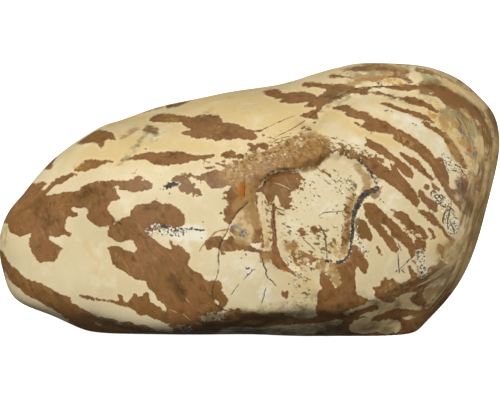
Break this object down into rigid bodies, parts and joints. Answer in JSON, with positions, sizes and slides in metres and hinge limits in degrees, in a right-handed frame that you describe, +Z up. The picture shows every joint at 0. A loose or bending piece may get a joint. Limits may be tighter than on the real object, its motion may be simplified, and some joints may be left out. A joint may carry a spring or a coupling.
{
  "type": "aquascape rock",
  "caption": "Smooth water-worn jasper boulder with cream and brown camouflage markings, laid on its flat side as a hardscape stone in an aquarium or planted tank.",
  "frame": {"origin": "under the middle of the stone's box, level with the flat that it rests on", "axes": "+Z up, +X along the stone's length towards its high end, -Y out of the show face with the scar"},
  "size_m": [0.2002, 0.0966, 0.106],
  "materials": {
    "jasper": "tumbled and hand-polished to a satin, cream ground with brown camouflage blotches, ochre tints and black manganese flecks"
  },
  "bodies": {
    "root": {"stone": "jasper"}
  },
  "joints": []
}
